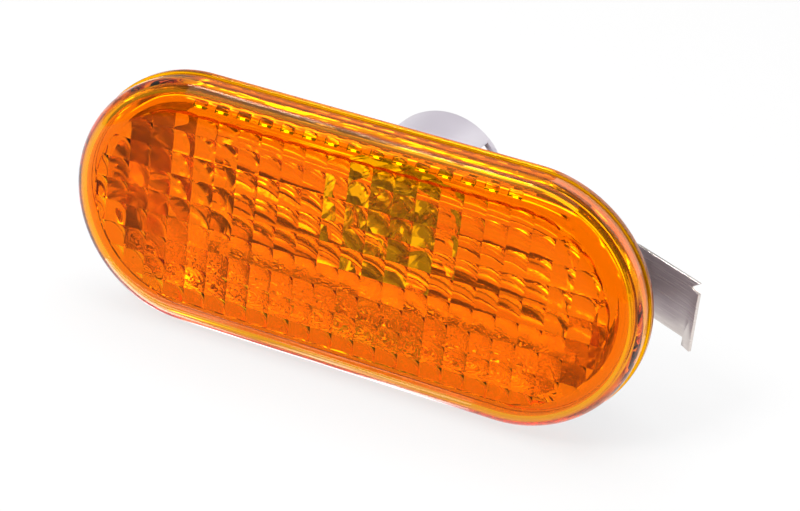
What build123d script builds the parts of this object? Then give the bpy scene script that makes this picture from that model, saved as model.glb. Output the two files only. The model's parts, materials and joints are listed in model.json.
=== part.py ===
from build123d import *
import os
from math import ceil, cos, radians, sin, sqrt

# Oval side indicator lamp for a vehicle wing, in millimetres.
# X runs along the lamp, the lens faces -Y and +Z is up. The origin is the centre of the
# rim's rear face, which lies on the body panel.

# Lens: an amber dish with a flat front, rounded shoulders and pillow optics inside
lens_length = 94.0
lens_width = 40.4
lens_depth = 8.65
lens_wall = 2.5
shoulder_radius = 5.6
inner_chamfer = 2.2
rim_lip = 1.25
pillow_pitch = 3.65
pillow_radius = 6.0
pillow_margin = 0.2
pillow_step = 0.15
pillow_root = 0.4

# Housing: a tray with a round back, the bulb tube and what holds the lamp in the panel
flange_thickness = 1.4
flange_fit = 0.1
housing_wall = 1.6
tray_inset = 3.5
tray_depth = 12.6
slope_depth = 8.0
slope_inset = 4.6
floor_ribs = 6
rib_pitch = 3.1
rib_height = 1.2
rib_base = 1.8
rib_end_gap = 3.0
tube_radius = 10.8
tube_rear = 30.9
collar = 1.2
rim_bridge = 1.2
window_height = 3.2
window_start = 48.0
window_stop = -16.0
entry_stop = 16.0
entry_depth = 0.8
panel_thickness = 1.2
seal_thickness = 0.85
hook_reach = 3.6
hook_width = 9.0
hook_tip = 1.2
hook_root = 3.0

# Spring clip: one strip of sheet, staked to a pad on the tray's back
clip_thickness = 0.5
clip_width = 9.6
clip_bend_radius = 1.0
foot_length = 12.0
pad_top = 15.6
pad_margin = 0.6
pad_corner = 1.0
bend_inset = 5.2
leaf_angle = 29.8
leaf_length = 12.4
lip_angle = 41.0
lip_length = 2.2
lip_shift = 1.3
spur_length = 1.7
stake_diameter = 2.4
stake_fit = 0.15
stake_spacing = 5.6
stake_head = 4.2
stake_head_height = 1.0
stake_head_chamfer = 0.6

# Bulb: a wedge-base glow lamp
bulb_diameter = 10.0
bulb_length = 26.8
dome_angles = (32, 62, 90)
glass_wall = 0.7
pinch_width = 9.5
pinch_thickness = 2.1
pinch_height = 7.0
pinch_taper = 4.6
lead_diameter = 0.5
lead_spacing = 5.2
lead_fit = 0.05
lead_groove_length = 3.8
lead_height = 18.5
filament_diameter = 0.5
filament_rise = 2.0
wire_sides = 6

# Bulb holder: a cross-bar with a wedge socket
holder_length = 13.0
holder_width = 6.4
holder_corner = 1.2
holder_sunk = 4.9
holder_proud = 3.1
socket_depth = 6.7
socket_fit = 0.1
bar_width = 4.8
lug_fit = 0.15
contact_thickness = 0.5
contact_width = 2.8
contact_fit = 0.05
contact_tail = 5.5
contact_tip_chamfer = 0.6

# Places that follow from the sizes above
cavity_floor = -(lens_depth - lens_wall)
field_inset = lens_wall + inner_chamfer + pillow_margin
field_length = lens_length - 2 * field_inset
field_width = lens_width - 2 * field_inset
pillow_columns = 2 * ceil(field_length / pillow_pitch / 2)
pillow_rows = 2 * ceil((field_width / pillow_pitch - 1) / 2) + 1
pillow_valley = cavity_floor + pillow_step
pillow_foot = cavity_floor - pillow_root
columns_half = pillow_columns * pillow_pitch / 2
rows_half = pillow_rows * pillow_pitch / 2

flange_inset = rim_lip + flange_fit
tray_length = lens_length - 2 * tray_inset
tray_width = lens_width - 2 * tray_inset
back_inside = tray_depth - housing_wall
rib_reach = (tray_length - tray_width) / 2 + slope_inset - rib_end_gap
root_depth = tray_depth - housing_wall / 2
bore_radius = tube_radius - housing_wall
window_cut = 3 * housing_wall
window_rear = tube_rear - rim_bridge
window_front = window_rear - window_height
hook_face = panel_thickness + seal_thickness

bend_x = tray_length / 2 - bend_inset
foot_start = bend_x - foot_length
foot_middle = (bend_x + foot_start) / 2
leaf_way = Vector(cos(radians(leaf_angle)), -sin(radians(leaf_angle)))
lip_way = Vector(cos(radians(lip_angle)), -sin(radians(lip_angle)))
leaf_behind = Vector(-leaf_way.Y, leaf_way.X)
lip_behind = Vector(-lip_way.Y, lip_way.X)
leaf_end = Vector(bend_x, pad_top) + leaf_way * leaf_length
lip_end = leaf_end + lip_way * lip_length

holder_front = tube_rear - holder_sunk
holder_rear = tube_rear + holder_proud
socket_floor = holder_front + socket_depth
bulb_rear = socket_floor - lead_diameter - socket_fit
bulb_tip = bulb_rear - bulb_length
pinch_front = bulb_rear - pinch_height
taper_front = pinch_front - pinch_taper
dome_base = bulb_tip + bulb_diameter / 2
lead_x = lead_spacing / 2
lead_tip = bulb_rear - lead_height
lug_reach = sqrt((bore_radius + entry_depth - lug_fit) ** 2 - bar_width**2 / 4)
contact_inner = pinch_thickness / 2 + contact_fit
contact_middle = contact_inner + contact_thickness / 2


def plane_at(depth):
    """A sketch plane across the lamp at this Y, which extrudes towards the front."""
    return Plane.XZ.offset(-depth)


def radial_plane(angle):
    """A plane through the tube's axis, with its local X at this angle above +X."""
    turn = radians(angle)
    return Plane((0, 0, 0), x_dir=(cos(turn), 0, sin(turn)), z_dir=(-sin(turn), 0, cos(turn)))


# The pillow field: upright flutes crossed with level flutes, cut to the oval of the cavity's floor
with BuildPart() as pillow_field:
    with BuildSketch(Plane.XY):
        with BuildLine():
            for column in range(pillow_columns):
                left = column * pillow_pitch - columns_half
                RadiusArc((left, pillow_valley), (left + pillow_pitch, pillow_valley), pillow_radius)
            Polyline(
                (columns_half, pillow_valley),
                (columns_half, pillow_foot),
                (-columns_half, pillow_foot),
                (-columns_half, pillow_valley),
            )
        make_face()
    extrude(amount=rows_half, both=True)
    with BuildSketch(Plane.YZ):
        with BuildLine():
            for row in range(pillow_rows):
                low = row * pillow_pitch - rows_half
                RadiusArc((pillow_valley, low), (pillow_valley, low + pillow_pitch), -pillow_radius)
            Polyline(
                (pillow_valley, rows_half),
                (pillow_foot, rows_half),
                (pillow_foot, -rows_half),
                (pillow_valley, -rows_half),
            )
        make_face()
    extrude(amount=columns_half, both=True, mode=Mode.INTERSECT)
    with BuildSketch(plane_at(0)):
        SlotOverall(field_length, field_width)
    extrude(amount=lens_depth, mode=Mode.INTERSECT)

# Lens: the dish, its cavity, the rebate that takes the housing's flange, and the pillows
with BuildPart() as lens:
    with BuildSketch(plane_at(0)):
        SlotOverall(lens_length, lens_width)
    extrude(amount=lens_depth)
    fillet(lens.faces().sort_by(Axis.Y)[0].edges(), shoulder_radius)
    with BuildSketch(plane_at(0)):
        SlotOverall(lens_length - 2 * lens_wall, lens_width - 2 * lens_wall)
    extrude(amount=-cavity_floor, mode=Mode.SUBTRACT)
    chamfer(lens.faces().filter_by(Axis.Y).sort_by(Axis.Y)[1].edges(), inner_chamfer)
    with BuildSketch(plane_at(0)):
        SlotOverall(lens_length - 2 * rim_lip, lens_width - 2 * rim_lip)
    extrude(amount=flange_thickness, mode=Mode.SUBTRACT)
    add(pillow_field.part)
lens.part.label = "lens"

# Housing: tray with level ribs on its floor, flange, tube with bayonet windows, clip pad and hook
with BuildPart() as housing:
    with BuildSketch(plane_at(tray_depth)):
        SlotOverall(tray_length, tray_width)
    extrude(amount=tray_depth + flange_thickness)
    tray_back = housing.faces().sort_by(Axis.Y)[-1]
    chamfer(tray_back.edges(), slope_inset, slope_depth, reference=tray_back)
    offset(amount=-housing_wall, openings=housing.faces().sort_by(Axis.Y)[0])
    with BuildSketch(plane_at(0)):
        SlotOverall(lens_length - 2 * flange_inset, lens_width - 2 * flange_inset)
        SlotOverall(tray_length - housing_wall, tray_width - housing_wall, mode=Mode.SUBTRACT)
    extrude(amount=flange_thickness)
    with BuildSketch(Plane.XY):
        with BuildLine():
            Polyline(
                (0, root_depth),
                (0, tube_rear),
                (tube_radius, tube_rear),
                (tube_radius, tray_depth + collar),
                (tube_radius + collar, tray_depth),
                (tube_radius + collar, root_depth),
                close=True,
            )
        make_face()
    revolve(axis=Axis.Y)
    with BuildSketch(plane_at(pad_top)):
        with Locations((foot_middle - pad_margin, 0)):
            RectangleRounded(foot_length, clip_width + 2 * pad_margin, pad_corner)
    extrude(amount=pad_top - root_depth)
    with BuildSketch(plane_at(pad_top + clip_thickness)):
        with Locations((foot_middle, 0)), GridLocations(stake_spacing, 1, 2, 1):
            Circle(stake_diameter / 2)
    extrude(amount=clip_thickness)
    with BuildSketch(plane_at(pad_top + clip_thickness + stake_head_height)):
        with Locations((foot_middle, 0)), GridLocations(stake_spacing, 1, 2, 1):
            Circle(stake_head / 2)
    extrude(amount=stake_head_height)
    chamfer(housing.faces(Select.LAST).sort_by(Axis.Y)[-2:].edges(), stake_head_chamfer)
    with BuildSketch(Plane.XY):
        wall_middle = -(tray_length - housing_wall) / 2
        nose = -tray_length / 2 - hook_reach
        with BuildLine():
            Polyline(
                (wall_middle, hook_face),
                (nose, hook_face),
                (nose, hook_face + hook_tip),
                (wall_middle, hook_face + hook_root),
                close=True,
            )
        make_face()
    extrude(amount=hook_width / 2, both=True)
    with BuildSketch(Plane.YZ):
        with GridLocations(1, rib_pitch, 1, floor_ribs):
            Polygon(
                (root_depth, -rib_base / 2),
                (back_inside, -rib_base / 2),
                (back_inside - rib_height, 0),
                (back_inside, rib_base / 2),
                (root_depth, rib_base / 2),
                align=None,
            )
    extrude(amount=rib_reach, both=True)
    with BuildSketch(plane_at(tube_rear)):
        Circle(bore_radius)
    extrude(amount=tube_rear - back_inside + rib_height, mode=Mode.SUBTRACT)
    for half_turn in (0, 180):
        with BuildSketch(radial_plane(window_start + half_turn)):
            with Locations((bore_radius, (window_front + window_rear) / 2)):
                Rectangle(window_cut, window_height)
        revolve(axis=Axis.Y, revolution_arc=window_start - window_stop, mode=Mode.SUBTRACT)
        with BuildSketch(radial_plane(window_start + half_turn)):
            with Locations((bore_radius, window_front)):
                Rectangle(2 * entry_depth, tube_rear - window_front, align=(Align.CENTER, Align.MIN))
        revolve(axis=Axis.Y, revolution_arc=window_start - entry_stop, mode=Mode.SUBTRACT)
housing.part.label = "housing"

# Spring clip: flat foot with stake holes, sloping leaf, and a lip set a little lower with a spur
with BuildPart() as spring_clip:
    with BuildSketch(Plane.XY):
        with BuildLine():
            FilletPolyline(
                (foot_start, pad_top),
                (bend_x, pad_top),
                (leaf_end.X, leaf_end.Y),
                radius=clip_bend_radius,
            )
            offset(amount=clip_thickness, side=Side.LEFT)
        make_face()
    extrude(amount=clip_width / 2, both=True)
    with BuildSketch(Plane.XY.offset(-clip_width / 2 - lip_shift)):
        with BuildLine():
            Polyline(
                leaf_end,
                lip_end,
                lip_end + lip_behind * clip_thickness,
                leaf_end + leaf_behind * clip_thickness,
                close=True,
            )
        make_face()
    extrude(amount=clip_width)
    with BuildSketch(Plane(leaf_end, x_dir=leaf_way, z_dir=leaf_behind)):
        with BuildLine():
            Polyline(
                (-clip_thickness, -clip_width / 2),
                (spur_length, -clip_width / 2),
                (0, lip_shift - clip_width / 2),
                (-clip_thickness, lip_shift - clip_width / 2),
                close=True,
            )
        make_face()
    extrude(amount=clip_thickness)
    with BuildSketch(plane_at(pad_top)):
        with Locations((foot_middle, 0)), GridLocations(stake_spacing, 1, 2, 1):
            Circle(stake_diameter / 2 + stake_fit)
    extrude(amount=-clip_thickness, mode=Mode.SUBTRACT)
spring_clip.part.label = "spring_clip"

# Bulb holder: socket body and cross-bar, with the wedge slot and a pocket for each contact
with BuildPart() as bulb_holder:
    with BuildSketch(plane_at(holder_rear)):
        RectangleRounded(holder_length, holder_width, holder_corner)
    extrude(amount=holder_rear - holder_front)
    with BuildSketch(plane_at(window_rear - lug_fit)):
        Rectangle(2 * lug_reach, bar_width)
    extrude(amount=window_height - 2 * lug_fit)
    with BuildSketch(plane_at(socket_floor)):
        Rectangle(pinch_width + 2 * socket_fit, pinch_thickness + 2 * socket_fit)
    extrude(amount=socket_depth, mode=Mode.SUBTRACT)
    for side in (1, -1):
        with BuildSketch(plane_at(holder_rear)):
            with Locations((-side * lead_x, side * contact_middle)):
                Rectangle(contact_width + 2 * socket_fit, contact_thickness + 2 * contact_fit)
        extrude(amount=holder_rear - holder_front, mode=Mode.SUBTRACT)
bulb_holder.part.label = "bulb_holder"


def make_contact(name, side):
    """A brass strip beside the bulb's pinch; side is 1 above the pinch and -1 below it."""
    with BuildPart() as contact:
        with BuildSketch(plane_at(holder_rear + contact_tail)):
            with Locations((-side * lead_x, side * contact_middle)):
                Rectangle(contact_width, contact_thickness)
        extrude(amount=contact_tail + holder_rear - holder_front)
        tail_corners = contact.faces().sort_by(Axis.Y)[-1].edges().filter_by(Axis.Z)
        chamfer(tail_corners, contact_tip_chamfer)
    contact.part.label = name
    return contact.part


upper_contact = make_contact("upper_contact", 1)
lower_contact = make_contact("lower_contact", -1)


def dome(across):
    """The bulb's domed tip at this radius, as a row of points from its middle outwards."""
    return [
        (across * sin(radians(angle)), dome_base - across * cos(radians(angle))) for angle in dome_angles
    ]


# Bulb glass: round envelope with a domed tip, pressed flat into the pinch, hollow, with lead holes
with BuildPart() as bulb_glass:
    radius = bulb_diameter / 2
    inner = radius - glass_wall
    with BuildSketch(Plane.XY):
        with BuildLine():
            outside = dome(radius)
            Polyline((0, outside[0][1]), *outside, (radius, pinch_front), (0, pinch_front), close=True)
        make_face()
    revolve(axis=Axis.Y)
    with BuildSketch(Plane.YZ):
        with BuildLine():
            Polyline(
                (bulb_tip, radius),
                (taper_front, radius),
                (pinch_front, pinch_thickness / 2),
                (pinch_front, -pinch_thickness / 2),
                (taper_front, -radius),
                (bulb_tip, -radius),
                close=True,
            )
        make_face()
    extrude(amount=radius, both=True, mode=Mode.INTERSECT)
    with BuildSketch(plane_at(bulb_rear)):
        Rectangle(pinch_width, pinch_thickness)
    extrude(amount=pinch_height)
    with BuildSketch(Plane.XY):
        with BuildLine():
            Polyline(
                (0, dome(inner)[0][1]),
                dome(inner)[0],
                (inner, dome_base),
                (inner, taper_front),
                (0, taper_front),
                close=True,
            )
        make_face()
    revolve(axis=Axis.Y, mode=Mode.SUBTRACT)
    with BuildSketch(plane_at(bulb_rear)):
        with GridLocations(lead_spacing, 1, 2, 1):
            Circle(lead_diameter / 2 + lead_fit)
    extrude(amount=bulb_rear - taper_front, mode=Mode.SUBTRACT)
    for side in (1, -1):
        with BuildSketch(plane_at(bulb_rear)):
            with Locations((-side * lead_x, side * pinch_thickness / 2)):
                Rectangle(lead_diameter + 2 * lead_fit, 2 * (lead_diameter + lead_fit))
        extrude(amount=lead_groove_length, mode=Mode.SUBTRACT)
bulb_glass.part.label = "bulb_glass"

# Bulb leads: each wire rises through the pinch, and its outer end folds into a groove of the pinch
with BuildPart() as bulb_leads:
    for side in (1, -1):
        fold_depth = bulb_rear + lead_diameter / 2
        groove_z = side * (pinch_thickness - lead_diameter) / 2
        with BuildLine() as wire:
            Polyline(
                (-side * lead_x, lead_tip, 0),
                (-side * lead_x, fold_depth, 0),
                (-side * lead_x, fold_depth, groove_z),
                (-side * lead_x, bulb_rear - lead_groove_length + lead_fit, groove_z),
            )
        with BuildSketch(Plane((-side * lead_x, lead_tip, 0), x_dir=(1, 0, 0), z_dir=(0, 1, 0))):
            RegularPolygon(lead_diameter / 2, wire_sides)
        sweep(path=wire.line, transition=Transition.RIGHT)
bulb_leads.part.label = "bulb_leads"

# Filament: a shallow arch of coiled wire between the tips of the leads
with BuildPart() as bulb_filament:
    filament_end = lead_x - (lead_diameter + filament_diameter) / 2 - lead_fit
    filament_y = lead_tip + lead_diameter
    with BuildLine() as arch:
        ThreePointArc(
            (-filament_end, filament_y, 0),
            (0, filament_y - filament_rise, 0),
            (filament_end, filament_y, 0),
        )
    with BuildSketch(Plane((-filament_end, filament_y, 0), z_dir=arch.line % 0)):
        RegularPolygon(filament_diameter / 2, wire_sides)
    sweep(path=arch.line)
bulb_filament.part.label = "bulb_filament"

os.makedirs("parts", exist_ok=True)
for piece in (
    lens.part,
    housing.part,
    spring_clip.part,
    bulb_holder.part,
    upper_contact,
    lower_contact,
    bulb_glass.part,
    bulb_leads.part,
    bulb_filament.part,
):
    export_step(piece, f"parts/{piece.label}.step")
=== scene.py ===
import json
import math

import bpy
from mathutils import Matrix, Vector

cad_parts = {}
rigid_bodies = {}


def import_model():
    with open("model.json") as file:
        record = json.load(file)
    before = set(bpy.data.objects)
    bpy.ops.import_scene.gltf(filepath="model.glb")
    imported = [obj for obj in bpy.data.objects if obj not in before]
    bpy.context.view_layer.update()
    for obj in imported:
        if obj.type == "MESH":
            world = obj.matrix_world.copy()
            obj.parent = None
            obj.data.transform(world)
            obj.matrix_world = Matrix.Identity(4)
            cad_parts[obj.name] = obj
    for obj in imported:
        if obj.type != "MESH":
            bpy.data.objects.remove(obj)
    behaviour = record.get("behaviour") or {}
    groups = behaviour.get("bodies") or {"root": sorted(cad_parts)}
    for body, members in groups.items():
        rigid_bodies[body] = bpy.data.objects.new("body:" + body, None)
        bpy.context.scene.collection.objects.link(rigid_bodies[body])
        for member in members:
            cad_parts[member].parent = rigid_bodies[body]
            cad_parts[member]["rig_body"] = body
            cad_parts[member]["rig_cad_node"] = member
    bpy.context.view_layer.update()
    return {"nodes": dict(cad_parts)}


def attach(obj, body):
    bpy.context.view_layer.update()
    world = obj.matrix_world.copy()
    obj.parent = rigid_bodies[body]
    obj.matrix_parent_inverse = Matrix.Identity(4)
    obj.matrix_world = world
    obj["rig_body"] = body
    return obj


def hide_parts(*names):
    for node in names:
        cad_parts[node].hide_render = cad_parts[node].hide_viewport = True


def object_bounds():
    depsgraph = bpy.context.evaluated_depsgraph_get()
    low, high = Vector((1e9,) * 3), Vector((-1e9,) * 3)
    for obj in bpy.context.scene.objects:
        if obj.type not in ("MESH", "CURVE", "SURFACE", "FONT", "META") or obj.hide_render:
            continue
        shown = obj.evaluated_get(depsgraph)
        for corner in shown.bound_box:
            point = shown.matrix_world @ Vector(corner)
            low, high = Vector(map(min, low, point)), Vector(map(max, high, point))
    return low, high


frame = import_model()
bpy.context.scene.view_settings.view_transform = "Standard"

# LENS
# One moulding of clear amber acrylic: an oval dish with a flat front, rounded shoulders and a thin lip.
# Its inner face carries rows of ball-shaped pillows, and a rebate at the back takes the housing's flange.
lens_length, lens_width, lens_depth = 0.094, 0.0404, 0.00865
lens_wall = 0.0025
lens_shoulder, cavity_corner = 0.0056, 0.0022
rim_lip, rebate_depth = 0.00125, 0.0015
cavity_floor = lens_wall - lens_depth
pillow_pitch, pillow_radius = 0.00365, 0.0060
pillow_columns, pillow_rows = 24, 9
pillow_field_inset = 0.0049
pillow_corner_step, pillow_root = 0.00005, 0.0004
pillow_field_front, pillow_field_back = -0.0078, -0.0020
lip_out, lip_depth, lip_round = 0.0003, 0.0012, 0.0002
front_border = 0.0003
brick_size, brick_round = (0.0022, 0.0010, 0.0012), 0.00012
brick_depth, brick_height = -0.0056, 0.0171
brick_count = 15
straight_half = (lens_length - lens_width) / 2
touching = 1e-6


def deselect_all():
    """Leave nothing selected or in edit mode, so the next operator acts on the new piece alone."""
    if bpy.context.object and bpy.context.object.mode != "OBJECT":
        bpy.ops.object.mode_set(mode="OBJECT")
    bpy.ops.object.select_all(action="DESELECT")


def make_active(piece):
    deselect_all()
    piece.select_set(True)
    bpy.context.view_layer.objects.active = piece


def pick(piece, kind, test):
    """In edit mode, select just the vertices, edges or faces of a piece whose place passes the test."""
    bpy.ops.object.mode_set(mode="EDIT")
    bpy.ops.mesh.select_mode(type={"vertices": "VERT", "edges": "EDGE", "polygons": "FACE"}[kind])
    bpy.ops.mesh.select_all(action="DESELECT")
    bpy.ops.object.mode_set(mode="OBJECT")
    mesh = piece.data
    for item in getattr(mesh, kind):
        if kind == "vertices":
            chosen = test(item.co)
        elif kind == "edges":
            chosen = all(test(mesh.vertices[v].co) for v in item.vertices)
        else:
            chosen = test(item.center, item.normal)
        item.select = chosen
    bpy.ops.object.mode_set(mode="EDIT")


def extrude(way):
    """Draw the selected faces or edges out by this much."""
    bpy.ops.mesh.extrude_region_move(TRANSFORM_OT_translate={"value": way})


def add_oval(name, length, width, front, back, steps=256):
    """A closed oval block between two depths: a disc drawn apart into an oval, then extruded."""
    deselect_all()
    bpy.ops.mesh.primitive_circle_add(
        vertices=steps, radius=width / 2, fill_type="NGON",
        location=(0, front, 0), rotation=(math.pi / 2, 0, 0),
    )
    oval = bpy.context.object
    oval.name = oval.data.name = name
    bpy.ops.object.transform_apply(location=True, rotation=True)
    bpy.ops.object.mode_set(mode="EDIT")
    bpy.ops.mesh.select_all(action="SELECT")
    bpy.ops.transform.rotate(value=math.pi / steps, orient_axis="Y", center_override=(0, front, 0))
    for side in (1, -1):
        pick(oval, "vertices", lambda co: co.x * side > 0)
        bpy.ops.transform.translate(value=(side * (length - width) / 2, 0, 0))
    bpy.ops.mesh.select_all(action="SELECT")
    extrude((0, back - front, 0))
    bpy.ops.mesh.select_all(action="SELECT")
    bpy.ops.mesh.normals_make_consistent(inside=False)
    return oval


def apply_modifier(piece, kind, **settings):
    """Give a piece a modifier with these settings, and apply it at once."""
    make_active(piece)
    modifier = piece.modifiers.new(kind.title(), kind)
    for key, value in settings.items():
        setattr(modifier, key, value)
    bpy.ops.object.modifier_apply(modifier=modifier.name)


def cut_with(piece, tool, operation):
    """Boolean a piece with a tool, and throw the tool away."""
    apply_modifier(piece, "BOOLEAN", object=tool, operation=operation, solver="EXACT")
    bpy.data.objects.remove(tool)


def from_spine(co):
    """How far a point lies from the middle line that the lamp's ovals are drawn round."""
    return math.hypot(max(abs(co.x) - straight_half, 0), co.z)


# The dish: a thin lip, the rounded front raised from it, then the rebate and the cavity in its back
lens = add_oval("amber_lens", lens_length, lens_width, -lip_depth, 0)
pick(lens, "polygons", lambda centre, normal: normal.y < -0.9999)
bpy.ops.mesh.inset(thickness=lip_out)
extrude((0, lip_depth - lens_depth, 0))
pick(lens, "edges", lambda co: co.y < -lens_depth + touching)
bpy.ops.mesh.bevel(offset=lens_shoulder, segments=28, profile=0.5, clamp_overlap=False)
pick(lens, "polygons", lambda centre, normal: normal.y < -0.9999 and centre.y < -lens_depth + touching)
bpy.ops.mesh.inset(thickness=front_border)
pick(lens, "polygons", lambda centre, normal: normal.y > 0.999)
bpy.ops.mesh.inset(thickness=rim_lip)
extrude((0, -rebate_depth, 0))
bpy.ops.mesh.inset(thickness=lens_wall - rim_lip)
extrude((0, cavity_floor + rebate_depth, 0))
pick(lens, "edges", lambda co: abs(co.y - cavity_floor) < touching)
bpy.ops.mesh.bevel(offset=cavity_corner, segments=12, profile=0.5, clamp_overlap=False)
lip_edge = lens_width / 2 - 10 * touching
for edge_depth in (0, -lip_depth):
    pick(lens, "edges", lambda co: abs(co.y - edge_depth) < touching and from_spine(co) > lip_edge)
    bpy.ops.mesh.bevel(offset=lip_round, segments=4, profile=0.5, clamp_overlap=False)

# One pillow: the square cap of a ball, cut out by four planes, then set out in columns and rows
half_pitch = pillow_pitch / 2
pillow_sag = pillow_radius - math.sqrt(pillow_radius**2 - 2 * half_pitch**2)
pillow_centre = cavity_floor + pillow_corner_step + pillow_sag - pillow_radius
deselect_all()
bpy.ops.mesh.primitive_uv_sphere_add(
    segments=144, ring_count=72, radius=pillow_radius, location=(0, pillow_centre, 0)
)
pillows = bpy.context.object
bpy.ops.object.transform_apply(location=True)
bpy.ops.object.mode_set(mode="EDIT")
cell_sides = [((half_pitch, 0, 0), (1, 0, 0)), ((-half_pitch, 0, 0), (-1, 0, 0)),
              ((0, 0, half_pitch), (0, 0, 1)), ((0, 0, -half_pitch), (0, 0, -1))]
for place, outward in cell_sides + [((0, pillow_centre, 0), (0, -1, 0))]:
    bpy.ops.mesh.select_all(action="SELECT")
    bpy.ops.mesh.bisect(plane_co=place, plane_no=outward, clear_outer=True, threshold=1e-8)
bpy.ops.mesh.select_all(action="SELECT")
bpy.ops.transform.translate(
    value=(-(pillow_columns - 1) * half_pitch, 0, -(pillow_rows - 1) * half_pitch)
)
bpy.ops.object.mode_set(mode="OBJECT")
for count, step in ((pillow_columns, (pillow_pitch, 0, 0)), (pillow_rows, (0, 0, pillow_pitch))):
    apply_modifier(
        pillows, "ARRAY", count=count, use_relative_offset=False, use_constant_offset=True,
        constant_offset_displace=step, use_merge_vertices=True, merge_threshold=2e-6,
    )
bpy.ops.object.mode_set(mode="EDIT")
bpy.ops.mesh.select_all(action="SELECT")
bpy.ops.mesh.region_to_loop()
extrude((0, 0, 0))
bpy.ops.transform.resize(value=(1, 0, 1), center_override=(0, cavity_floor - pillow_root, 0))
bpy.ops.mesh.edge_face_add()
bpy.ops.mesh.select_all(action="SELECT")
bpy.ops.mesh.normals_make_consistent(inside=False)
bpy.ops.object.mode_set(mode="OBJECT")
field = add_oval(
    "pillow_field", lens_length - 2 * pillow_field_inset, lens_width - 2 * pillow_field_inset,
    pillow_field_front, pillow_field_back,
)
cut_with(pillows, field, "INTERSECT")
cut_with(lens, pillows, "UNION")

# A row of small bricks in the cavity's upper corner, one to each column
deselect_all()
bpy.ops.mesh.primitive_cube_add(
    size=1, location=(-(brick_count - 1) * half_pitch, brick_depth, brick_height), scale=brick_size
)
bricks = bpy.context.object
bpy.ops.object.transform_apply(location=True, scale=True)
apply_modifier(bricks, "BEVEL", width=brick_round, segments=3, limit_method="ANGLE")
apply_modifier(
    bricks, "ARRAY", count=brick_count, use_relative_offset=False, use_constant_offset=True,
    constant_offset_displace=(pillow_pitch, 0, 0),
)
cut_with(lens, bricks, "UNION")
make_active(lens)
bpy.ops.object.shade_smooth_by_angle(angle=math.radians(28))


def new_material(name):
    """A node material with its Principled shader; returns the material, its nodes, links and shader."""
    material = bpy.data.materials.new(name)
    material.use_nodes = True
    nodes, links = material.node_tree.nodes, material.node_tree.links
    return material, nodes, links, nodes["Principled BSDF"]


def wear(piece, material):
    """Give a piece this material and no other."""
    piece.data.materials.clear()
    piece.data.materials.append(material)


def add_noise(nodes, links, scale, detail=2, stretch=(1, 1, 1)):
    """Noise in the lamp's own metres, drawn out where stretch is under 1; returns its output."""
    place = nodes.new("ShaderNodeTexCoord")
    mapping = nodes.new("ShaderNodeMapping")
    mapping.inputs["Scale"].default_value = stretch
    noise = nodes.new("ShaderNodeTexNoise")
    noise.inputs["Scale"].default_value = scale
    noise.inputs["Detail"].default_value = detail
    links.new(place.outputs["Object"], mapping.inputs["Vector"])
    links.new(mapping.outputs["Vector"], noise.inputs["Vector"])
    return noise.outputs["Fac"]


def add_bump(nodes, links, shader, height, depth, strength=1):
    """Raise and sink a shader's surface by a height value, to this depth in metres."""
    bump = nodes.new("ShaderNodeBump")
    bump.inputs["Distance"].default_value = depth
    bump.inputs["Strength"].default_value = strength
    links.new(height, bump.inputs["Height"])
    links.new(bump.outputs["Normal"], shader.inputs["Normal"])
    return bump


def spread(nodes, links, value, socket, low, high, start=0.3, stop=0.7):
    """Drive a socket from low to high as a value goes from start to stop."""
    ramp = nodes.new("ShaderNodeMapRange")
    for name, number in (("From Min", start), ("From Max", stop), ("To Min", low), ("To Max", high)):
        ramp.inputs[name].default_value = number
    links.new(value, ramp.inputs["Value"])
    links.new(ramp.outputs["Result"], socket)


def blend(nodes, links, value, socket, first, second):
    """Colour a socket by noise, between two near shades."""
    ramp = nodes.new("ShaderNodeValToRGB")
    for stop, position, colour in zip(ramp.color_ramp.elements, (0.35, 0.65), (first, second)):
        stop.position, stop.color = position, (*colour, 1)
    links.new(value, ramp.inputs["Fac"])
    links.new(ramp.outputs["Color"], socket)


amber, nodes, links, shader = new_material("clear_amber_acrylic")
shader.inputs["Base Color"].default_value = (1, 0.48, 0.0, 1)
shader.inputs["Transmission Weight"].default_value = 1
shader.inputs["IOR"].default_value = 1.49
shader.inputs["Roughness"].default_value = 0.0
shader.inputs["Specular Tint"].default_value = (0.35, 0.2, 0.05, 1)
flow_lines = add_noise(nodes, links, 700, 3, stretch=(0.12, 1, 1))
add_bump(nodes, links, shader, flow_lines, 0.000006)
absorb = nodes.new("ShaderNodeVolumeAbsorption")
absorb.inputs["Color"].default_value = (0.99, 0.85, 0.0, 1)
absorb.inputs["Density"].default_value = 300
links.new(absorb.outputs["Volume"], nodes["Material Output"].inputs["Volume"])
wear(lens, amber)
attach(lens, "root")
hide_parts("lens")

# HOUSING
# One moulding of pale lilac-grey plastic, welded to the lens round its flange: an oval tray with
# sloping shoulders, the bulb tube with two bayonet windows, the clip's pad and stakes, and a hook. Its
# inside and the front of its flange are metallised, and grained at the bottom.
housing_edge = 0.00022
tray_reach, tray_back, flange_front = 0.0152, 0.0112, -0.0013
bore_reach, metal_back = 0.0094, 0.026
grain_full, grain_end = -0.0110, -0.0098


def copy_node(node, name):
    """A CAD node's mesh as a piece of its own, with its loose triangles joined up."""
    piece = frame["nodes"][node].copy()
    piece.data = piece.data.copy()
    piece.name = piece.data.name = name
    piece.parent = None
    bpy.context.scene.collection.objects.link(piece)
    make_active(piece)
    bpy.ops.object.mode_set(mode="EDIT")
    bpy.ops.mesh.select_all(action="SELECT")
    bpy.ops.mesh.remove_doubles(threshold=1e-6)
    bpy.ops.mesh.dissolve_limited(angle_limit=math.radians(0.5))
    bpy.ops.object.mode_set(mode="OBJECT")
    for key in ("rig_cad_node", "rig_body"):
        if key in piece:
            del piece[key]
    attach(piece, "root")
    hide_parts(node)
    return piece


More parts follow.
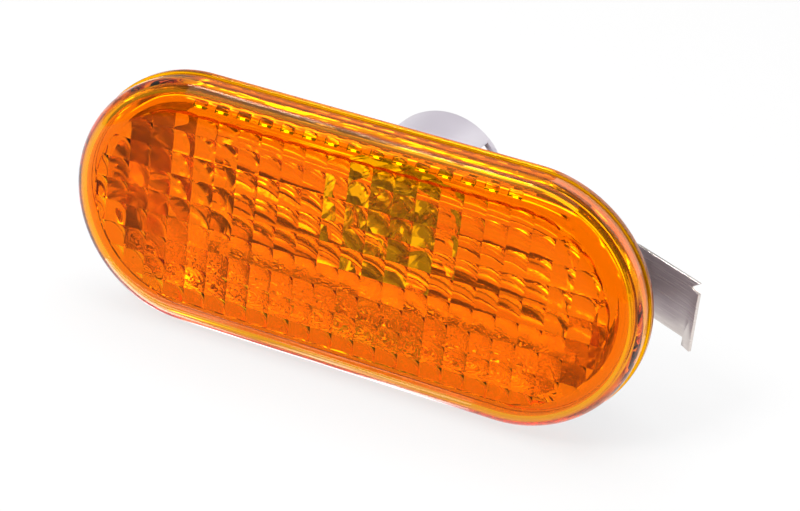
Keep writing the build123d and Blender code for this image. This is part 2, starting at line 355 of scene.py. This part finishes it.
housing = copy_node("housing", "pale_housing")
apply_modifier(
    housing, "BEVEL", width=housing_edge, segments=2, limit_method="ANGLE", angle_limit=math.radians(32)
)
bpy.ops.object.shade_smooth_by_angle(angle=math.radians(30))
pale, nodes, links, shader = new_material("pale_moulded_plastic")
cloud = add_noise(nodes, links, 110, 4)
blend(nodes, links, cloud, shader.inputs["Base Color"], (0.585, 0.535, 0.605), (0.615, 0.565, 0.635))
spread(nodes, links, cloud, shader.inputs["Roughness"], 0.26, 0.38)
add_bump(nodes, links, shader, add_noise(nodes, links, 4200, 3), 0.000012, 0.6)
wear(housing, pale)
reflector, nodes, links, shader = new_material("metallised_reflector")
shader.inputs["Base Color"].default_value = (0.97, 0.87, 0.80, 1)
shader.inputs["Metallic"].default_value = 1
shader.inputs["Roughness"].default_value = 0.1
grain_bump = add_bump(nodes, links, shader, add_noise(nodes, links, 5500, 1), 0.00008)
place = nodes.new("ShaderNodeTexCoord")
height = nodes.new("ShaderNodeSeparateXYZ")
links.new(place.outputs["Object"], height.inputs[0])
spread(nodes, links, height.outputs["Z"], grain_bump.inputs["Strength"], 1.0, 0.05, grain_full, grain_end)
housing.data.materials.append(reflector)


def metallised(centre, normal):
    """Whether a face belongs to the tray's inside, the flange's front or the front part of the bore."""
    faces_axis = normal.x * centre.x + normal.z * centre.z < 0
    in_bore = math.hypot(centre.x, centre.z) < bore_reach and centre.y < metal_back and faces_axis
    in_tray = from_spine(centre) < tray_reach and centre.y < tray_back and normal.y < 0.2
    on_flange = centre.y < flange_front and normal.y < -0.99
    return in_tray or on_flange or in_bore


pick(housing, "polygons", metallised)
housing.active_material_index = 1
bpy.ops.object.material_slot_assign()
bpy.ops.object.mode_set(mode="OBJECT")

# SPRING CLIP
# A strip of rolled spring steel, staked to the pad on the tray's back. Its leaf slopes out past the
# end of the tray and bears on the edge of the hole in the body panel.
clip_edge = 0.00008
clip = copy_node("spring_clip", "spring_clip_strip")
apply_modifier(
    clip, "BEVEL", width=clip_edge, segments=2, limit_method="ANGLE", angle_limit=math.radians(40)
)
bpy.ops.object.shade_smooth_by_angle(angle=math.radians(30))
steel, nodes, links, shader = new_material("rolled_spring_steel")
shader.inputs["Metallic"].default_value = 1
rolled = add_noise(nodes, links, 6000, 2, stretch=(0.02, 0.02, 1))
blend(nodes, links, rolled, shader.inputs["Base Color"], (0.70, 0.63, 0.59), (0.80, 0.73, 0.69))
spread(nodes, links, rolled, shader.inputs["Roughness"], 0.18, 0.30)
add_bump(nodes, links, shader, rolled, 0.000006)
wear(clip, steel)

# BULB HOLDER
# A cross-bar of natural nylon with a wedge socket in its middle, moulded in one piece. It is pushed into
# the tube and turned home in the two bayonet windows.
holder = copy_node("bulb_holder", "socket_bar")
bpy.ops.object.shade_smooth_by_angle(angle=math.radians(30))
nylon, nodes, links, shader = new_material("natural_nylon")
shader.inputs["Transmission Weight"].default_value = 0.5
cloud = add_noise(nodes, links, 400, 3)
blend(nodes, links, cloud, shader.inputs["Base Color"], (0.90, 0.88, 0.82), (0.95, 0.93, 0.89))
spread(nodes, links, cloud, shader.inputs["Roughness"], 0.38, 0.52)
add_bump(nodes, links, shader, add_noise(nodes, links, 5000, 2), 0.00001, 0.5)
wear(holder, nylon)

# CONTACTS
# Two strips stamped from brass sheet and pressed into the holder, one above and one below the bulb's
# pinch. They bear on the bulb's wires and end as tails for the wiring at the back.
brass, nodes, links, shader = new_material("stamped_brass")
shader.inputs["Metallic"].default_value = 1
drawn = add_noise(nodes, links, 3000, 3, stretch=(1, 0.05, 1))
blend(nodes, links, drawn, shader.inputs["Base Color"], (0.70, 0.50, 0.23), (0.80, 0.61, 0.31))
spread(nodes, links, drawn, shader.inputs["Roughness"], 0.22, 0.36)
add_bump(nodes, links, shader, drawn, 0.000005)
for node in ("upper_contact", "lower_contact"):
    strip = copy_node(node, node + "_strip")
    wear(strip, brass)

# BULB
# A wedge-base bulb of clear blown glass: a round envelope with a domed tip, drawn in and pressed flat
# into the pinch. Two drawn wires come up through the pinch, and the tungsten coil is held between them.
bulb_radius, glass_wall = 0.005, 0.0007
bulb_tip, taper_front, pinch_front, pinch_rear = 0.0053, 0.0205, 0.0251, 0.0321
pinch_width, pinch_thickness = 0.0095, 0.0021
pinch_overlap, pinch_edge = 0.0002, 0.0004
bulb_steps, dome_rings, dome_ring_turn = 48, 11, math.radians(8.5)


def blow_envelope(name, radius, rear, dome_middle):
    """A closed glass bubble: a ring drawn forwards and gathered into a dome at its tip."""
    deselect_all()
    bpy.ops.mesh.primitive_circle_add(
        vertices=bulb_steps, radius=radius, fill_type="NGON",
        location=(0, rear, 0), rotation=(math.pi / 2, 0, 0),
    )
    bubble = bpy.context.object
    bubble.name = bubble.data.name = name
    bpy.ops.object.transform_apply(location=True, rotation=True)
    bpy.ops.object.mode_set(mode="EDIT")
    bpy.ops.mesh.select_all(action="SELECT")
    depth, across = rear, radius
    for ring in range(dome_rings):
        angle = dome_ring_turn * ring
        ring_depth = dome_middle - radius * math.sin(angle)
        ring_across = radius * math.cos(angle)
        extrude((0, ring_depth - depth, 0))
        gather = ring_across / across
        bpy.ops.transform.resize(value=(gather, 1, gather), center_override=(0, ring_depth, 0))
        depth, across = ring_depth, ring_across
    bpy.ops.mesh.select_all(action="SELECT")
    bpy.ops.mesh.normals_make_consistent(inside=False)
    bpy.ops.object.mode_set(mode="OBJECT")
    return bubble


bulb = blow_envelope("wedge_bulb", bulb_radius, taper_front, bulb_tip + bulb_radius)
pick(bulb, "polygons", lambda centre, normal: normal.y > 0.99)
extrude((0, pinch_front - taper_front, 0))
bpy.ops.transform.resize(
    value=(pinch_width / bulb_radius / 2, 1, pinch_thickness / bulb_radius / 2),
    center_override=(0, pinch_front, 0),
)
bpy.ops.object.mode_set(mode="OBJECT")
deselect_all()
bpy.ops.mesh.primitive_cube_add(size=1, location=(0, (pinch_front + pinch_rear) / 2 - pinch_overlap, 0))
pinch = bpy.context.object
pinch.scale = (pinch_width, pinch_rear - pinch_front + 2 * pinch_overlap, pinch_thickness)
bpy.ops.object.transform_apply(location=True, scale=True)
apply_modifier(pinch, "BEVEL", width=pinch_edge, segments=4, limit_method="ANGLE")
cut_with(bulb, pinch, "UNION")
hollow = blow_envelope("bulb_hollow", bulb_radius - glass_wall, taper_front, bulb_tip + bulb_radius)
cut_with(bulb, hollow, "DIFFERENCE")
make_active(bulb)
bpy.ops.object.shade_smooth_by_angle(angle=math.radians(40))
glass, nodes, links, shader = new_material("clear_bulb_glass")
shader.inputs["Base Color"].default_value = (1, 1, 1, 1)
shader.inputs["Transmission Weight"].default_value = 1
shader.inputs["IOR"].default_value = 1.5
shader.inputs["Roughness"].default_value = 0.0
add_bump(nodes, links, shader, add_noise(nodes, links, 260, 2), 0.00001)
wear(bulb, glass)
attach(bulb, "root")
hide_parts("bulb_glass")

wire, nodes, links, shader = new_material("drawn_wire")
shader.inputs["Metallic"].default_value = 1
drawn = add_noise(nodes, links, 4000, 2, stretch=(1, 0.05, 1))
blend(nodes, links, drawn, shader.inputs["Base Color"], (0.62, 0.62, 0.62), (0.74, 0.74, 0.74))
spread(nodes, links, drawn, shader.inputs["Roughness"], 0.16, 0.3)
leads = copy_node("bulb_leads", "bulb_lead_wires")
bpy.ops.object.shade_smooth_by_angle(angle=math.radians(65))
wear(leads, wire)

filament_turns, filament_pitch = 11, 0.0004
filament_depth, coil_radius, strand_radius = 0.0141, 0.00016, 0.00006
deselect_all()
bpy.ops.mesh.primitive_circle_add(
    vertices=8, radius=strand_radius, location=(-filament_turns * filament_pitch / 2, coil_radius, 0)
)
filament = bpy.context.object
filament.name = filament.data.name = "coiled_filament"
bpy.ops.object.transform_apply(location=True)
apply_modifier(
    filament, "SCREW", axis="X", angle=2 * math.pi, screw_offset=filament_pitch, iterations=filament_turns,
    steps=16, render_steps=16, use_smooth_shade=True,
)
bpy.ops.object.mode_set(mode="EDIT")
bpy.ops.mesh.select_all(action="SELECT")
bpy.ops.transform.translate(value=(0, filament_depth, 0))
bpy.ops.mesh.normals_make_consistent(inside=False)
bpy.ops.object.mode_set(mode="OBJECT")
tungsten, nodes, links, shader = new_material("tungsten_coil")
shader.inputs["Metallic"].default_value = 1
drawn = add_noise(nodes, links, 9000, 2)
blend(nodes, links, drawn, shader.inputs["Base Color"], (0.30, 0.30, 0.32), (0.48, 0.48, 0.50))
spread(nodes, links, drawn, shader.inputs["Roughness"], 0.3, 0.45)
wear(filament, tungsten)
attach(filament, "root")
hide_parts("bulb_filament")

# STUDIO
# A plain white table in a white tent that is dimmer towards the front, with a softbox overhead and another
# at the front left, and cards out of the picture for the light and the streaks in the lens.
table_size, table_gap, table_lift = 6, 0.0002, 0.75
tent_front, tent_back = 0.16, 0.38
deselect_all()
floor_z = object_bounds()[0][2] - table_gap
bpy.ops.mesh.primitive_plane_add(size=table_size, location=(0, 0, floor_z))
table = bpy.context.object
table.name = "table"
bpy.ops.object.transform_apply(location=True)
white, nodes, links, shader = new_material("white_table")
shader.inputs["Base Color"].default_value = (0.95, 0.95, 0.95, 1)
shader.inputs["Roughness"].default_value = 1
shader.inputs["Specular IOR Level"].default_value = 0
ray = nodes.new("ShaderNodeLightPath")
seen = nodes.new("ShaderNodeMath")
seen.operation = "MAXIMUM"
links.new(ray.outputs["Is Camera Ray"], seen.inputs[0])
links.new(ray.outputs["Is Glossy Ray"], seen.inputs[1])
seen_all = nodes.new("ShaderNodeMath")
seen_all.operation = "MAXIMUM"
links.new(seen.outputs[0], seen_all.inputs[0])
links.new(ray.outputs["Is Transmission Ray"], seen_all.inputs[1])
lift = nodes.new("ShaderNodeMath")
lift.operation = "MULTIPLY"
lift.inputs[1].default_value = table_lift
links.new(seen_all.outputs[0], lift.inputs[0])
glow = nodes.new("ShaderNodeEmission")
mix = nodes.new("ShaderNodeMixShader")
links.new(lift.outputs[0], mix.inputs["Fac"])
links.new(shader.outputs["BSDF"], mix.inputs[1])
links.new(glow.outputs["Emission"], mix.inputs[2])
links.new(mix.outputs["Shader"], nodes["Material Output"].inputs["Surface"])
wear(table, white)

world = bpy.data.worlds.new("white_tent")
bpy.context.scene.world = world
world.use_nodes = True
sky = world.node_tree.nodes["Background"]
sky.inputs["Color"].default_value = (1, 1, 1, 1)
tent_nodes, tent_links = world.node_tree.nodes, world.node_tree.links
way = tent_nodes.new("ShaderNodeTexCoord")
split = tent_nodes.new("ShaderNodeSeparateXYZ")
tent_links.new(way.outputs["Generated"], split.inputs[0])
spread(tent_nodes, tent_links, split.outputs["Y"], sky.inputs["Strength"], tent_front, tent_back, -0.7, 0.3)


def add_softbox(name, way, away, width, height, radiance):
    """A soft rectangular light that faces the lamp from this way; radiance is how bright it looks."""
    deselect_all()
    way = Vector(way).normalized()
    bpy.ops.object.light_add(type="AREA", location=way * away)
    box = bpy.context.object
    box.name = name
    box.rotation_euler = way.to_track_quat("Z", "Y").to_euler()
    box.data.shape = "RECTANGLE"
    box.data.size, box.data.size_y = width, height
    box.data.energy = radiance * math.pi * width * height
    return box


add_softbox("top_softbox", (-0.1, 0.0, 1.0), 0.9, 0.9, 0.9, 2.4)
key = add_softbox("key_softbox", (-0.30, -0.60, 0.74), 0.9, 0.3, 0.3, 12)
key.visible_glossy = False


def add_card(name, place, facing, width, height, seen):
    """A bright card that faces this way, met only by rays of the kinds that are listed."""
    deselect_all()
    bpy.ops.mesh.primitive_plane_add(
        size=1, location=place, rotation=Vector(facing).to_track_quat("Z", "Y").to_euler()
    )
    card = bpy.context.object
    card.name = name
    card.scale = (width, height, 1)
    bpy.ops.object.transform_apply(location=True, rotation=True, scale=True)
    for kind in ("camera", "diffuse", "glossy", "transmission", "shadow"):
        setattr(card, "visible_" + kind, kind in seen)
    return card


def streaky_glow(name, slant, stretch, low, high):
    """Light in soft streaks across a flat card, like the light from the folds of a white reflector."""
    material, nodes, links, _ = new_material(name)
    place = nodes.new("ShaderNodeTexCoord")
    turn = nodes.new("ShaderNodeMapping")
    turn.inputs["Rotation"].default_value = (0, 0, slant)
    turn.inputs["Scale"].default_value = stretch
    links.new(place.outputs["UV"], turn.inputs["Vector"])
    noise = nodes.new("ShaderNodeTexNoise")
    noise.inputs["Scale"].default_value = 1
    links.new(turn.outputs["Vector"], noise.inputs["Vector"])
    glow = nodes.new("ShaderNodeEmission")
    spread(nodes, links, noise.outputs["Fac"], glow.inputs["Strength"], low, high, 0.46, 0.64)
    links.new(glow.outputs["Emission"], nodes["Material Output"].inputs["Surface"])
    return material


def plain_glow(name, strength):
    """Even white light all over a card."""
    material, _, _, shader = new_material(name)
    shader.inputs["Emission Color"].default_value = (1, 1, 1, 1)
    shader.inputs["Emission Strength"].default_value = strength
    return material


# One card on the table in front and one behind, for the glitter in the lens and the light in the tube;
# a flat one overhead and one below, each glowing in streaks, for the streaks in the lens's shoulders
card_z = floor_z + 0.001
front_card = add_card("front_card", (-0.06, -0.125, card_z), (0, 0, 1), 0.22, 0.05, ("transmission",))
wear(front_card, plain_glow("lit_card", 6))
rear_way = Vector((0.30, 0.90, 0.32)).normalized()
rear_card = add_card("rear_card", rear_way * 0.6, -rear_way, 0.5, 0.5, ("glossy", "transmission"))
wear(rear_card, plain_glow("dim_card", 1.5))
overhead_way = Vector((-0.354, 0.271, 0.893)).normalized()
overhead_card = add_card("overhead_card", overhead_way * 0.9, overhead_way, 0.11, 0.46, ("glossy",))
wear(overhead_card, streaky_glow("overhead_folds", math.radians(-17), (2.0, 24, 1), 1.0, 36.0))
lower_card = add_card("lower_card", (-0.012, -0.0095, card_z), (0, 0, 1), 0.07, 0.009, ("glossy",))
wear(lower_card, streaky_glow("lower_folds", math.radians(8), (2.0, 9, 1), 0.5, 7.0))

scene = bpy.context.scene
scene.cycles.max_bounces = 24
scene.cycles.transmission_bounces = 20
scene.cycles.diffuse_bounces = 6
scene.cycles.glossy_bounces = 8

# The camera stands where the photograph was taken from, with its slight roll
camera_azimuth, camera_elevation = math.radians(23.09), math.radians(25.36)
camera_roll, camera_distance = math.radians(6.79), 0.369
aim_right, aim_down = 0.00593, 0.0022
outward = Vector((
    math.sin(camera_azimuth) * math.cos(camera_elevation),
    -math.cos(camera_azimuth) * math.cos(camera_elevation),
    math.sin(camera_elevation),
))


def camera_axes(look):
    """The picture's right and up for a camera that looks this way with its roll."""
    right = look.cross(Vector((0, 0, 1))).normalized()
    up = right.cross(look)
    turned_right = math.cos(camera_roll) * right + math.sin(camera_roll) * up
    turned_up = math.cos(camera_roll) * up - math.sin(camera_roll) * right
    return turned_right, turned_up


right, up = camera_axes(-outward)
stand = outward * camera_distance
look = (right * aim_right - up * aim_down - stand).normalized()
right, up = camera_axes(look)
deselect_all()
bpy.ops.object.camera_add(location=stand)
camera = bpy.context.object
camera.rotation_euler = Matrix((right, up, -look)).transposed().to_euler()
camera.data.sensor_width = 36
camera.data.lens = 110.2
camera.data.clip_start = 0.01
scene.camera = camera
